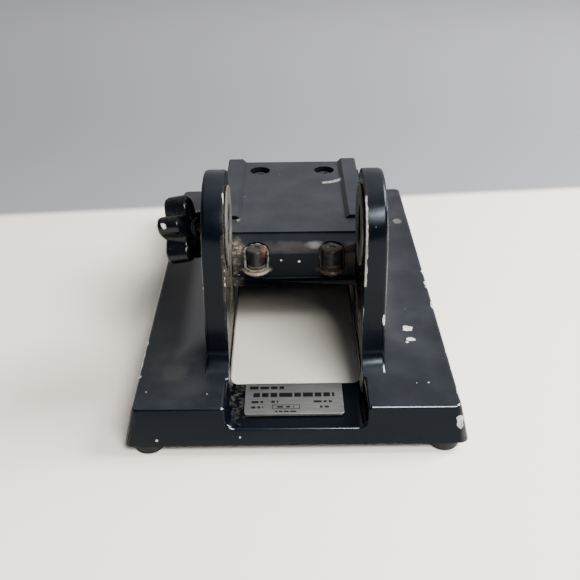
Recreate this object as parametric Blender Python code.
"""Stand of a manual lensmeter: drafted base, two pivot uprights, bolted rear bridge, clamp knob.

Frame: metres, +Z up, origin on the table under the middle of the base.
+X is the user's right, -Y is the user's side (nameplate), +Y is the rear.
"""
import math

import bmesh
import bpy
from mathutils import Matrix, Vector

MM = 0.001
GAP = 0.3            # clearance kept between neighbouring pieces
EPS = 1.0            # overshoot of a cutter past the face that it opens

# ---- driving dimensions, millimetres --------------------------------------------------------
FOOT_H = 6.0
FOOT_R = 8.5
FOOT_X = 82.5
FOOT_Y = 146.6
BASE_BOTTOM = FOOT_H
BASE_TOP = 28.0
BASE_BOTTOM_HALF = (95.3, 155.2)
BASE_TOP_HALF = (90.3, 150.5)
BASE_CORNER = (5.0, 3.5)
BASE_EDGE_R = 1.8
BASE_RIM_GROW = 0.3                  # the rolled edge stands this far proud of the drafted side
ROOT_DEPTH = 3.0                     # uprights and cheeks reach this far into the plinth
POCKET_HALF = (8.5, 61.5)            # lightening pockets under the wings
POCKET_X = (57.0, 77.0)
POCKET_Y = 65.5
POCKET_DRAFT = 1.0
POCKET_CORNER = 4.0
POCKET_ROOF = 6.0

SHELF_Z = 16.0
SHELF_HALF = 39.2
SHELF_CORNER = 5.5
SHELF_ROLL = 2.2
SHELF_LIP = 1.6                      # rounding of the recess's front edge
SHELF_RUNOUT = 9.0                   # how far its cutter starts in front of the base
SHELF_OVERLAP = 4.0                  # how far the recess runs into the opening
OPENING_FRONT = -111.0
OPENING_REAR = 60.0
OPENING_HALF = (39.4, 37.6)          # at the underside, at the top
OPENING_FLARE = 1.0
OPENING_CORNER = 3.6
CUT_CLEAR = 12.0                     # a cutter's height above the face that it opens

UPRIGHT_IN = 38.5
UPRIGHT_OUT = 50.9                   # at the pivot
UPRIGHT_ROOT_OUT = 52.0              # the outer face is drafted
PIVOT_Y = -78.0
PIVOT_Z = 103.0
UPRIGHT_R = 32.4
UPRIGHT_FOOT_R = 12.0
UPRIGHT_EDGE = 2.2
UPRIGHT_INNER_EDGE = 0.25
UPRIGHT_FOOT_SINK = 0.15
PIVOT_RECESS_R = 13.0
PIVOT_RECESS_D = 4.0
FRICTION_R = 23.5
FRICTION_T = 1.2

CHEEK_TOP = 74.0
CHEEK_REAR = 86.0
CHEEK_TAIL = 18.0                    # run of the sloped rear end
CHEEK_ROUND = 8.0
CHEEK_INSET = (0.7, 1.5)             # from the upright's inner and outer faces
RIB_Z = (50.5, 55.7)
RIB_FRONT = (-55.0, -28.0)
RIB_REAR = (58.0, 82.0)

DECK_TOP = 78.6
DECK_EDGE_Y = -35.5
DECK_REAR = 84.5
DECK_WIDE_HALF = 47.0
DECK_WIDE_FRONT = -45.1
DECK_UNDER = CHEEK_TOP + GAP
BRIDGE_HALF = 38.0
BRIDGE_FRONT = -52.8
BRIDGE_LOW = RIB_Z[1] + GAP
LEDGE_Z = (77.3, 73.0)               # at the deck edge, at the front edge
RAIL_IN = 34.0
RAIL_FRONT = -16.5
RAIL_H = 2.6
RAIL_SINK = 0.6
RAIL_FLANK = 2.6
RAIL_CHAMFER = 0.8
DECK_NOSE = 0.5
LEDGE_NOSE = 1.0
HOLLOW_WALL = 5.0                    # walls and roof left round the bridge's hollow
HOLLOW_ROOF = 4.4

BOLT_X = 23.4
BOLT_FRONT_Y = -49.6
BOLT_REAR_Y = 67.5
BOLT_SEAT_FRONT = 61.8
BOLT_SEAT_REAR = 63.0
BOLT_SHANK_R = 3.0
BOLT_HEAD_R = 6.2
BOLT_HEAD_H = 10.0
PIVOT_PIN_R = 4.0
NOTCH_R = 8.3
NOTCH_Y = -51.2
SEAT_R = 7.2                         # counterbore of a rear bridge screw
BOSS_ROOT_R = 4.5
LOCK_WASHER_T = 2.0
SCREW_END = 0.8                      # how far a bridge screw passes below its rib

PLATE_SIZE = (56.0, 29.0, 0.9)
PLATE_X = -1.2
PLATE_Y = -128.5
PLATE_PAD = 0.6
PLATE_CORNER = 1.5
PAD_INSET = 0.4

STUD_HOLE_R = 5.6
STUD_YAW = 0.24                      # rearward slope of the loose clamp stud
STUD_DROOP = 0.27                    # downward slope of the loose clamp stud
ROCK_POINT = Vector((-47.0, PIVOT_Y, PIVOT_Z))
KNOB_LOBES = 5
KNOB_FIRST_LOBE = math.radians(39.6)
KNOB_THICK = 14.0
KNOB_LOBE_CENTRE = 14.8
KNOB_LOBE_R = 5.6
KNOB_WAIST = 11.4
KNOB_REACH = 11.1                    # rocking point to the knob's inner face, along the axis
STUD_R = 3.1
INSERT_R = 5.0
COLLAR_R = 5.8
COLLAR_T = 1.2
THRUST_R = 6.4
THRUST_T = 1.3
CLIP_R = 6.2
CLIP_AT = -8.6

FOOT_HOLE_R = 2.3
FOOT_HOLE_DEPTH = 12.0
FOOT_BORE = (5.4, 3.0)               # radius and depth of the screw's counterbore
FOOT_WASHER = (5.0, 0.8)


# ---- helpers --------------------------------------------------------------------------------
def clear_scene():
    for obj in list(bpy.data.objects):
        bpy.data.objects.remove(obj, do_unlink=True)


def make_material(name, colour, roughness, metallic=0.0):
    mat = bpy.data.materials.new(name)
    mat.use_nodes = True
    bsdf = mat.node_tree.nodes["Principled BSDF"]
    bsdf.inputs["Base Color"].default_value = (*colour, 1.0)
    bsdf.inputs["Roughness"].default_value = roughness
    bsdf.inputs["Metallic"].default_value = metallic
    return mat


def rounded_rect(half_x, half_y, radius, steps=4):
    """Counter-clockwise outline of a rectangle with round corners."""
    points = []
    for quarter, (sx, sy) in enumerate(((1, 1), (-1, 1), (-1, -1), (1, -1))):
        for step in range(steps + 1):
            angle = math.radians(90 * quarter) + math.pi / 2 * step / steps
            points.append((sx * (half_x - radius) + radius * math.cos(angle),
                           sy * (half_y - radius) + radius * math.sin(angle)))
    return points


def arc(cx, cy, radius, start, end, steps):
    """Points of an arc, angles in degrees."""
    return [(cx + radius * math.cos(math.radians(start + (end - start) * i / steps)),
             cy + radius * math.sin(math.radians(start + (end - start) * i / steps)))
            for i in range(steps + 1)]


def loft(name, rings):
    """Closed solid through rings of equal point count; the first and last rings are capped."""
    bm = bmesh.new()
    loops = [[bm.verts.new(Vector(p) * MM) for p in ring] for ring in rings]
    count = len(loops[0])
    for low, high in zip(loops, loops[1:]):
        for i in range(count):
            j = (i + 1) % count
            bm.faces.new((low[i], low[j], high[j], high[i]))
    bm.faces.new(list(reversed(loops[0])))
    bm.faces.new(loops[-1])
    bmesh.ops.recalc_face_normals(bm, faces=bm.faces)
    mesh = bpy.data.meshes.new(name)
    bm.to_mesh(mesh)
    bm.free()
    obj = bpy.data.objects.new(name, mesh)
    bpy.context.collection.objects.link(obj)
    return obj


def prism(name, outline, axis, start, end):
    """Outline extruded along 'X', 'Y' or 'Z'; its two coordinates are the other axes in order."""
    def place(point, along):
        a, b = point
        return {"X": (along, a, b), "Y": (a, along, b), "Z": (a, b, along)}[axis]
    return loft(name, [[place(p, start) for p in outline], [place(p, end) for p in outline]])


def box(name, x, y, z):
    return prism(name, [(x[0], y[0]), (x[1], y[0]), (x[1], y[1]), (x[0], y[1])], "Z", z[0], z[1])


def turned(name, profile, segments=32):
    """Solid of revolution about +Z from (radius, height) points, bottom to top."""
    rings = []
    for radius, height in profile:
        rings.append([(radius * math.cos(2 * math.pi * i / segments),
                       radius * math.sin(2 * math.pi * i / segments), height)
                      for i in range(segments)])
    return loft(name, rings)


def ring_turned(name, profile, segments=32):
    """Solid ring about +Z from a closed (radius, height) profile that stays off the axis."""
    bm = bmesh.new()
    loops = []
    for radius, height in profile:
        loops.append([bm.verts.new(Vector((radius * math.cos(2 * math.pi * i / segments),
                                           radius * math.sin(2 * math.pi * i / segments),
                                           height)) * MM) for i in range(segments)])
    for k, low in enumerate(loops):
        high = loops[(k + 1) % len(loops)]
        for i in range(segments):
            j = (i + 1) % segments
            bm.faces.new((low[i], low[j], high[j], high[i]))
    bmesh.ops.recalc_face_normals(bm, faces=bm.faces)
    mesh = bpy.data.meshes.new(name)
    bm.to_mesh(mesh)
    bm.free()
    obj = bpy.data.objects.new(name, mesh)
    bpy.context.collection.objects.link(obj)
    return obj


def place(obj, position, direction=(0, 0, 1), spin=0.0):
    """Move the mesh so that its +Z points along direction and its origin lies at position."""
    turn = Vector((0, 0, 1)).rotation_difference(Vector(direction)).to_matrix().to_4x4()
    obj.data.transform(turn @ Matrix.Rotation(spin, 4, "Z"))
    obj.location = Vector(position) * MM
    return obj


def combine(target, tool, operation):
    """Apply one exact Boolean to target and remove the tool."""
    modifier = target.modifiers.new(operation.lower(), "BOOLEAN")
    modifier.operation = operation
    modifier.solver = "EXACT"
    modifier.object = tool
    bpy.context.view_layer.update()
    evaluated = target.evaluated_get(bpy.context.evaluated_depsgraph_get())
    mesh = bpy.data.meshes.new_from_object(evaluated)
    target.modifiers.clear()
    target.data = mesh
    bpy.data.objects.remove(tool, do_unlink=True)


def unite(target, *tools):
    for tool in tools:
        combine(target, tool, "UNION")


def cut(target, *tools):
    for tool in tools:
        combine(target, tool, "DIFFERENCE")


def finish(obj, mat, smooth=True):
    obj.data.materials.clear()
    obj.data.materials.append(mat)
    if smooth:
        obj.data.shade_smooth()
        obj.data.set_sharp_from_angle(angle=math.radians(32.0))
    return obj


def cylinder(name, centre, radius, start, end, axis="Z", segments=32):
    """Cylinder along an axis between two coordinates; centre gives the other two in order."""
    outline = arc(centre[0], centre[1], radius, 0, 360 * (segments - 1) / segments, segments - 1)
    return prism(name, outline, axis, start, end)


# ---- base casting ---------------------------------------------------------------------------
def plinth():
    height = BASE_TOP - BASE_BOTTOM
    rings = []
    for step in range(2):
        z = BASE_BOTTOM + step * (height - BASE_EDGE_R)
        t = step * (height - BASE_EDGE_R) / height
        hx = BASE_BOTTOM_HALF[0] + t * (BASE_TOP_HALF[0] - BASE_BOTTOM_HALF[0])
        hy = BASE_BOTTOM_HALF[1] + t * (BASE_TOP_HALF[1] - BASE_BOTTOM_HALF[1])
        radius = BASE_CORNER[0] + t * (BASE_CORNER[1] - BASE_CORNER[0])
        rings.append([(x, y, z) for x, y in rounded_rect(hx, hy, radius)])
    for step in range(1, 5):
        angle = math.pi / 2 * step / 4
        inset = BASE_EDGE_R * (1 - math.cos(angle))
        z = BASE_TOP - BASE_EDGE_R + BASE_EDGE_R * math.sin(angle)
        rings.append([(x, y, z) for x, y in rounded_rect(
            BASE_TOP_HALF[0] + BASE_RIM_GROW - inset, BASE_TOP_HALF[1] + BASE_RIM_GROW - inset,
            BASE_CORNER[1])])
    return loft("base_casting", rings)


def shelf_outline(grow):
    """Section of the front recess: flat floor, round inner corners, rolled upper edges."""
    corner = SHELF_CORNER + grow
    roll = SHELF_ROLL - grow
    right = [(SHELF_HALF - SHELF_CORNER, SHELF_Z - grow)]
    right += arc(SHELF_HALF - SHELF_CORNER, SHELF_Z + SHELF_CORNER, corner, -90, 0, 6)[1:-1]
    right += arc(SHELF_HALF + SHELF_ROLL, BASE_TOP - SHELF_ROLL, roll, 180, 90, 4)
    right += [(SHELF_HALF + SHELF_ROLL, BASE_TOP + CUT_CLEAR)]
    return right + [(-x, z) for x, z in reversed(right)]


def shelf_cutter():
    """Recess cutter that flares by a quarter round where it leaves the drafted front face."""
    slope = (BASE_BOTTOM_HALF[1] - BASE_TOP_HALF[1]) / (BASE_TOP - BASE_BOTTOM)
    levels = [(-SHELF_RUNOUT, SHELF_LIP)]
    for step in range(5):
        angle = math.pi / 2 * step / 4
        levels.append((SHELF_LIP * (1 - math.cos(angle)), SHELF_LIP * (1 - math.sin(angle))))
    rings = []
    for depth, grow in levels:
        rings.append([(x, -BASE_BOTTOM_HALF[1] + slope * (z - BASE_BOTTOM) + depth, z)
                      for x, z in shelf_outline(grow)])
    rings.append([(x, OPENING_FRONT + SHELF_OVERLAP, z) for x, z in shelf_outline(0.0)])
    return loft("shelf_cutter", rings)


def opening_cutter():
    middle = (OPENING_FRONT + OPENING_REAR) / 2
    length = (OPENING_REAR - OPENING_FRONT) / 2
    low, high = BASE_BOTTOM - EPS, BASE_TOP + EPS
    rings = []
    for z, half, grow in ((low, OPENING_HALF[0], OPENING_FLARE), (high, OPENING_HALF[1], 0.0)):
        rings.append([(x, middle + y, z) for x, y in rounded_rect(
            half, length + grow, OPENING_CORNER)])
    return loft("opening_cutter", rings)


def pocket_cutters():
    """Lightening pockets under the wings; ribs between them and solid ends for the feet stay."""
    tools = []
    for x in (-POCKET_X[1], -POCKET_X[0], POCKET_X[0], POCKET_X[1]):
        for y in (-POCKET_Y, POCKET_Y):
            rings = []
            for z, shrink in ((BASE_BOTTOM - EPS, 0.0), (BASE_TOP - POCKET_ROOF, POCKET_DRAFT)):
                outline = rounded_rect(POCKET_HALF[0] - shrink, POCKET_HALF[1] - shrink, POCKET_CORNER, 2)
                rings.append([(x + px, y + py, z) for px, py in outline])
            tools.append(loft("pocket_cutter", rings))
    return tools


def upright(side):
    """Tombstone cheek with a concave front foot and softened outer edges."""
    front = PIVOT_Y - UPRIGHT_R
    rear = PIVOT_Y + UPRIGHT_R
    root = SHELF_Z + ROOT_DEPTH
    tangent = BASE_TOP + UPRIGHT_FOOT_R - UPRIGHT_FOOT_SINK
    outline = [(front - UPRIGHT_FOOT_R, root)]
    outline += arc(front - UPRIGHT_FOOT_R, tangent, UPRIGHT_FOOT_R, -90, 0, 6)
    outline += arc(PIVOT_Y, PIVOT_Z, UPRIGHT_R, 180, 0, 24)
    outline += [(rear, root)]
    rings = []
    draft = (UPRIGHT_ROOT_OUT - UPRIGHT_OUT) / (PIVOT_Z - BASE_TOP)
    for along, inset in ((UPRIGHT_IN, UPRIGHT_INNER_EDGE),
                         (UPRIGHT_IN + UPRIGHT_INNER_EDGE, 0.0),
                         (UPRIGHT_OUT - UPRIGHT_EDGE, 0.0),
                         (UPRIGHT_OUT - UPRIGHT_EDGE * 0.3, UPRIGHT_EDGE * 0.3),
                         (UPRIGHT_OUT, UPRIGHT_EDGE)):
        ring = []
        for y, z in outline:
            away = Vector((y - PIVOT_Y, z - min(z, PIVOT_Z))).normalized()
            lean = draft * (PIVOT_Z - z) if along > UPRIGHT_IN + 1 else 0.0
            ring.append((side * (along + lean), y - away.x * inset, z - away.y * inset))
        rings.append(ring)
    return loft("upright", rings)


def cheek(side):
    """Side wall that carries the bridge behind the upright, with a sloped rear end."""
    outline = [(PIVOT_Y, BASE_TOP - ROOT_DEPTH), (CHEEK_REAR + CHEEK_TAIL, BASE_TOP - ROOT_DEPTH)]
    outline += arc(CHEEK_REAR - CHEEK_ROUND, CHEEK_TOP - CHEEK_ROUND, CHEEK_ROUND, 20, 90, 5)
    outline += [(PIVOT_Y, CHEEK_TOP)]
    x = (side * (UPRIGHT_IN + CHEEK_INSET[0]), side * (UPRIGHT_OUT - CHEEK_INSET[1]))
    return prism("cheek", outline, "X", min(x), max(x))


def build_base(mat):
    base = plinth()
    cut(base, shelf_cutter())
    for side in (-1, 1):
        unite(base, upright(side), cheek(side))
    for y0, y1 in (RIB_FRONT, RIB_REAR):
        unite(base, box("rib", (-UPRIGHT_IN - 2, UPRIGHT_IN + 2), (y0, y1), RIB_Z))
    cut(base, opening_cutter(), *pocket_cutters())
    for side, hole in ((-1, STUD_HOLE_R), (1, PIVOT_PIN_R + GAP)):
        x_in, x_out = side * (UPRIGHT_IN - EPS), side * (UPRIGHT_OUT + EPS)
        recess = side * (UPRIGHT_IN + PIVOT_RECESS_D)
        cut(base, cylinder("recess", (PIVOT_Y, PIVOT_Z), PIVOT_RECESS_R, x_in, recess, "X"),
            cylinder("hole", (PIVOT_Y, PIVOT_Z), hole, x_in, x_out, "X", 24))
    for x in (-BOLT_X, BOLT_X):
        for y in (BOLT_FRONT_Y, BOLT_REAR_Y):
            cut(base, cylinder("hole", (x, y), BOLT_SHANK_R + GAP, RIB_Z[0] - EPS,
                               RIB_Z[1] + EPS, "Z", 20))
    for x in (-FOOT_X, FOOT_X):
        for y in (-FOOT_Y, FOOT_Y):
            cut(base, cylinder("hole", (x, y), FOOT_HOLE_R, BASE_BOTTOM - EPS,
                               BASE_BOTTOM + FOOT_HOLE_DEPTH, "Z", 16))
    return finish(base, mat)


# ---- rear bridge ----------------------------------------------------------------------------
def bridge_body():
    """Narrow block between the cheeks with the sloping front ledge and a stepped deck edge."""
    outline = [(BRIDGE_FRONT, BRIDGE_LOW), (DECK_REAR, BRIDGE_LOW), (DECK_REAR, DECK_TOP),
               (DECK_EDGE_Y + DECK_NOSE, DECK_TOP), (DECK_EDGE_Y, DECK_TOP - DECK_NOSE),
               (DECK_EDGE_Y, LEDGE_Z[0]), (BRIDGE_FRONT + LEDGE_NOSE, LEDGE_Z[1]),
               (BRIDGE_FRONT, LEDGE_Z[1] - LEDGE_NOSE)]
    return prism("rear_bridge", outline, "X", -BRIDGE_HALF, BRIDGE_HALF)


def rail(side):
    """Low guide rail along one side of the deck, with a bevelled inner flank."""
    low, high = DECK_TOP - RAIL_SINK, DECK_TOP + RAIL_H
    section = [(RAIL_IN - 0.4, low), (DECK_WIDE_HALF, low), (DECK_WIDE_HALF, high - RAIL_CHAMFER),
               (DECK_WIDE_HALF - RAIL_CHAMFER, high), (RAIL_IN + RAIL_FLANK, high),
               (RAIL_IN, DECK_TOP + 0.2)]
    if side < 0:
        section = [(-x, z) for x, z in reversed(section)]
    return prism("rail", section, "Y", RAIL_FRONT, DECK_REAR)


def screw_boss(x):
    """Half-round boss on the front face that carries a front screw's spot-faced seat."""
    boss = turned("boss", [(BOSS_ROOT_R, BRIDGE_LOW + 0.4), (NOTCH_R + 0.3, BOLT_SEAT_FRONT - 1.4),
                           (NOTCH_R - 0.6, BOLT_SEAT_FRONT)], 32)
    boss.data.transform(Matrix.Translation(Vector((x, NOTCH_Y, 0)) * MM))
    return boss


def build_bridge(mat):
    bridge = bridge_body()
    unite(bridge, box("wide", (-DECK_WIDE_HALF, DECK_WIDE_HALF), (DECK_WIDE_FRONT, DECK_REAR),
                      (DECK_UNDER, DECK_TOP)))
    trim = [(BRIDGE_FRONT - EPS, LEDGE_Z[0] + CUT_CLEAR), (BRIDGE_FRONT - EPS, LEDGE_Z[1] - 0.4),
            (DECK_EDGE_Y, LEDGE_Z[0]), (DECK_EDGE_Y, LEDGE_Z[0] + CUT_CLEAR)]
    cut(bridge, prism("ledge_trim", trim, "X", -DECK_WIDE_HALF - EPS, DECK_WIDE_HALF + EPS))
    unite(bridge, rail(-1), rail(1))
    hollow_half = BRIDGE_HALF - HOLLOW_WALL
    cut(bridge, box("hollow", (-hollow_half, hollow_half), (RIB_FRONT[1] + 0.5, RIB_REAR[0] - 0.5),
                    (BRIDGE_LOW - EPS, DECK_TOP - HOLLOW_ROOF)))
    for x in (-BOLT_X, BOLT_X):
        cut(bridge, cylinder("notch", (x, NOTCH_Y), NOTCH_R, BOLT_SEAT_FRONT, DECK_TOP + EPS))
        unite(bridge, screw_boss(x))
        cut(bridge, cylinder("seat", (x, BOLT_REAR_Y), SEAT_R, BOLT_SEAT_REAR, DECK_TOP + EPS))
        for y in (BOLT_FRONT_Y, BOLT_REAR_Y):
            cut(bridge, cylinder("hole", (x, y), BOLT_SHANK_R + GAP, BRIDGE_LOW - EPS,
                                 BOLT_SEAT_REAR + 2, "Z", 20))
    return finish(bridge, mat)


# ---- fasteners ------------------------------------------------------------------------------
def cap_screw(name, shank_r, shank_l, head_r, head_h, socket_r, socket_depth, segments=24):
    """Socket head cap screw along +Z: the head's underside is at z = 0, the head above it."""
    screw = turned(name, [(shank_r - 0.6, -shank_l), (shank_r, -shank_l + 0.8), (shank_r, 0.0),
                          (head_r, 0.0), (head_r, head_h - 1.2), (head_r - 0.4, head_h - 0.4),
                          (head_r - 1.4, head_h)], segments)
    cut(screw, cylinder("socket", (0, 0), socket_r, head_h - socket_depth, head_h + EPS, "Z", 6))
    return screw


def washer(name, outer, inner, thick, segments=32):
    edge = min(0.25, thick / 4)
    return ring_turned(name, [(inner, 0), (outer - edge, 0), (outer, edge),
                              (outer, thick - edge), (outer - edge, thick), (inner, thick)], segments)


def build_bridge_fasteners(steel, spring):
    rows = (("front", BOLT_FRONT_Y, BOLT_SEAT_FRONT, 0.6), ("rear", BOLT_REAR_Y, BOLT_SEAT_REAR, 5.0))
    for row, y, seat, socket_depth in rows:
        for hand, x in (("left", -BOLT_X), ("right", BOLT_X)):
            lock = washer(f"bridge_washer_{row}_{hand}", BOLT_HEAD_R, BOLT_SHANK_R + GAP,
                          LOCK_WASHER_T, 24)
            finish(place(lock, (x, y, seat + GAP)), spring)
            base = seat + LOCK_WASHER_T + 2 * GAP
            screw = cap_screw(f"bridge_screw_{row}_{hand}", BOLT_SHANK_R, base - RIB_Z[0] - SCREW_END,
                              BOLT_HEAD_R, BOLT_HEAD_H, 2.9, socket_depth)
            finish(place(screw, (x, y, base)), steel)


# ---- pivot and clamp ------------------------------------------------------------------------
def clamp_axis():
    """Unit vector from the rocking point outwards along the loose stud."""
    return Vector((-1.0, STUD_YAW, -STUD_DROOP)).normalized()


def star_knob(name):
    """Five-lobed knob along +Z, inner face at z = 0, with a dished outer face and a bore."""
    outline = []
    for index in range(KNOB_LOBES):
        middle = 2 * math.pi * index / KNOB_LOBES
        for degrees in (-88.0, -81.0, -54.0, -27.0, 0.0, 27.0, 54.0, 81.0, 88.0):
            angle = middle + math.radians(degrees)
            outline.append((KNOB_LOBE_CENTRE * math.cos(middle) + KNOB_LOBE_R * math.cos(angle),
                            KNOB_LOBE_CENTRE * math.sin(middle) + KNOB_LOBE_R * math.sin(angle)))
        middle += math.pi / KNOB_LOBES
        outline.append((KNOB_WAIST * math.cos(middle), KNOB_WAIST * math.sin(middle)))
    levels = ((0.0, 0.90), (1.2, 0.985), (2.0, 1.0), (KNOB_THICK - 1.6, 1.0),
              (KNOB_THICK - 0.4, 0.97), (KNOB_THICK, 0.93))
    knob = loft(name, [[(x * s, y * s, z) for x, y in outline] for z, s in levels])
    cut(knob, turned("dish", [(5.2, KNOB_THICK - 2.0), (7.5, KNOB_THICK + EPS)], 24),
        cylinder("bore", (0, 0), INSERT_R + GAP, -EPS, KNOB_THICK - 3.0, "Z", 24))
    return knob


def build_clamp(knob_mat, insert_mat, steel, clip_mat):
    axis = clamp_axis()
    frame_turn = Vector((0, 0, 1)).rotation_difference(axis).to_matrix()
    toward = frame_turn.transposed() @ Vector((0, -1, 0))
    up = frame_turn.transposed() @ Vector((0, 0, 1))
    lobe = toward * math.cos(KNOB_FIRST_LOBE) + up * math.sin(KNOB_FIRST_LOBE)
    angle = math.atan2(lobe.y, lobe.x)

    def along(distance):
        return ROCK_POINT + axis * distance

    knob = place(star_knob("clamp_knob"), along(KNOB_REACH), axis, angle)
    finish(knob, knob_mat)
    bore, depth = STUD_R + GAP, 9.5
    insert = ring_turned("knob_insert", [(bore, -COLLAR_T), (COLLAR_R, -COLLAR_T), (COLLAR_R, -GAP),
                                         (INSERT_R, -GAP), (INSERT_R, depth), (bore, depth)], 24)
    finish(place(insert, along(KNOB_REACH), axis), insert_mat)
    stud = turned("clamp_stud", [(STUD_R - 0.7, -18.0), (STUD_R, -17.2), (STUD_R, depth - 0.1)], 20)
    finish(place(stud, along(KNOB_REACH), axis), steel)
    thrust = washer("thrust_washer", THRUST_R, bore, THRUST_T, 28)
    finish(place(thrust, along(KNOB_REACH - COLLAR_T - GAP - THRUST_T), axis), steel)
    clip = washer("retaining_clip", CLIP_R, bore, 1.0, 24)
    finish(place(clip, along(CLIP_AT), axis), clip_mat)


def build_pivots(left_mat, right_mat, steel):
    for side, hand, mat in ((-1, "left", left_mat), (1, "right", right_mat)):
        ring = washer(f"friction_washer_{hand}", FRICTION_R, PIVOT_RECESS_R + GAP, FRICTION_T, 48)
        finish(place(ring, (side * (UPRIGHT_IN - GAP), PIVOT_Y, PIVOT_Z), (-side, 0, 0)), mat)
    length = UPRIGHT_OUT - UPRIGHT_IN - 2 * GAP
    pin = turned("pivot_pin_right", [(PIVOT_PIN_R - 1.0, 0.0), (PIVOT_PIN_R, 1.0),
                                     (PIVOT_PIN_R, length - 0.5), (PIVOT_PIN_R - 0.5, length)], 24)
    finish(place(pin, (UPRIGHT_IN + GAP, PIVOT_Y, PIVOT_Z), (1, 0, 0)), steel)


# ---- nameplate and feet ---------------------------------------------------------------------
def build_nameplate(plate_mat, pad_mat):
    pad_z = SHELF_Z + GAP
    outline = rounded_rect(PLATE_SIZE[0] / 2 - PAD_INSET, PLATE_SIZE[1] / 2 - PAD_INSET, PLATE_CORNER, 3)
    pad = prism("nameplate_pad", outline, "Z", 0.0, PLATE_PAD)
    pad.location = Vector((PLATE_X, PLATE_Y, pad_z)) * MM
    finish(pad, pad_mat)
    outline = rounded_rect(PLATE_SIZE[0] / 2, PLATE_SIZE[1] / 2, PLATE_CORNER, 3)
    plate = prism("nameplate", outline, "Z", 0.0, PLATE_SIZE[2])
    plate.location = Vector((PLATE_X, PLATE_Y, pad_z + PLATE_PAD + GAP)) * MM
    finish(plate, plate_mat)


def build_feet(rubber, steel):
    for hand, x in (("left", -FOOT_X), ("right", FOOT_X)):
        for row, y in (("front", -FOOT_Y), ("rear", FOOT_Y)):
            profile = [(FOOT_HOLE_R, FOOT_BORE[1]), (FOOT_BORE[0], FOOT_BORE[1]), (FOOT_BORE[0], 0.0),
                       (FOOT_R - 1.0, 0.0), (FOOT_R - 0.3, 0.6), (FOOT_R, FOOT_H - 1.6),
                       (FOOT_R - 0.3, FOOT_H - GAP), (FOOT_HOLE_R, FOOT_H - GAP)]
            foot = ring_turned(f"foot_{row}_{hand}", profile, 28)
            finish(place(foot, (x, y, 0)), rubber)
            under = FOOT_BORE[1] - GAP - FOOT_WASHER[1]
            disc = washer(f"foot_washer_{row}_{hand}", FOOT_WASHER[0], FOOT_HOLE_R, FOOT_WASHER[1], 20)
            finish(place(disc, (x, y, under)), steel)
            screw = turned(f"foot_screw_{row}_{hand}",
                           [(2.6, -1.4), (3.6, -1.0), (3.8, 0.0), (2.0, 0.0), (2.0, 10.5), (1.0, 11.5)], 20)
            finish(place(screw, (x, y, under - GAP)), steel)


def main():
    clear_scene()
    enamel = make_material("black_enamel", (0.012, 0.013, 0.016), 0.38)
    deck = make_material("dusty_black_paint", (0.06, 0.065, 0.075), 0.6)
    black_screw = make_material("black_oxide_steel", (0.05, 0.05, 0.055), 0.4, 0.8)
    zinc = make_material("zinc_steel", (0.55, 0.55, 0.55), 0.35, 1.0)
    phenolic = make_material("black_phenolic", (0.015, 0.015, 0.017), 0.3)
    cream = make_material("cream_fibre", (0.68, 0.66, 0.56), 0.6)
    grey = make_material("grey_fibre", (0.28, 0.31, 0.29), 0.6)
    plate = make_material("brushed_aluminium", (0.45, 0.45, 0.44), 0.4, 0.9)
    pad = make_material("adhesive_foam", (0.6, 0.57, 0.48), 0.8)
    rubber = make_material("black_rubber", (0.02, 0.02, 0.02), 0.7)
    build_base(enamel)
    build_bridge(deck)
    build_bridge_fasteners(black_screw, zinc)
    build_pivots(cream, grey, zinc)
    build_clamp(phenolic, black_screw, zinc, black_screw)
    build_nameplate(plate, pad)
    build_feet(rubber, zinc)


main()
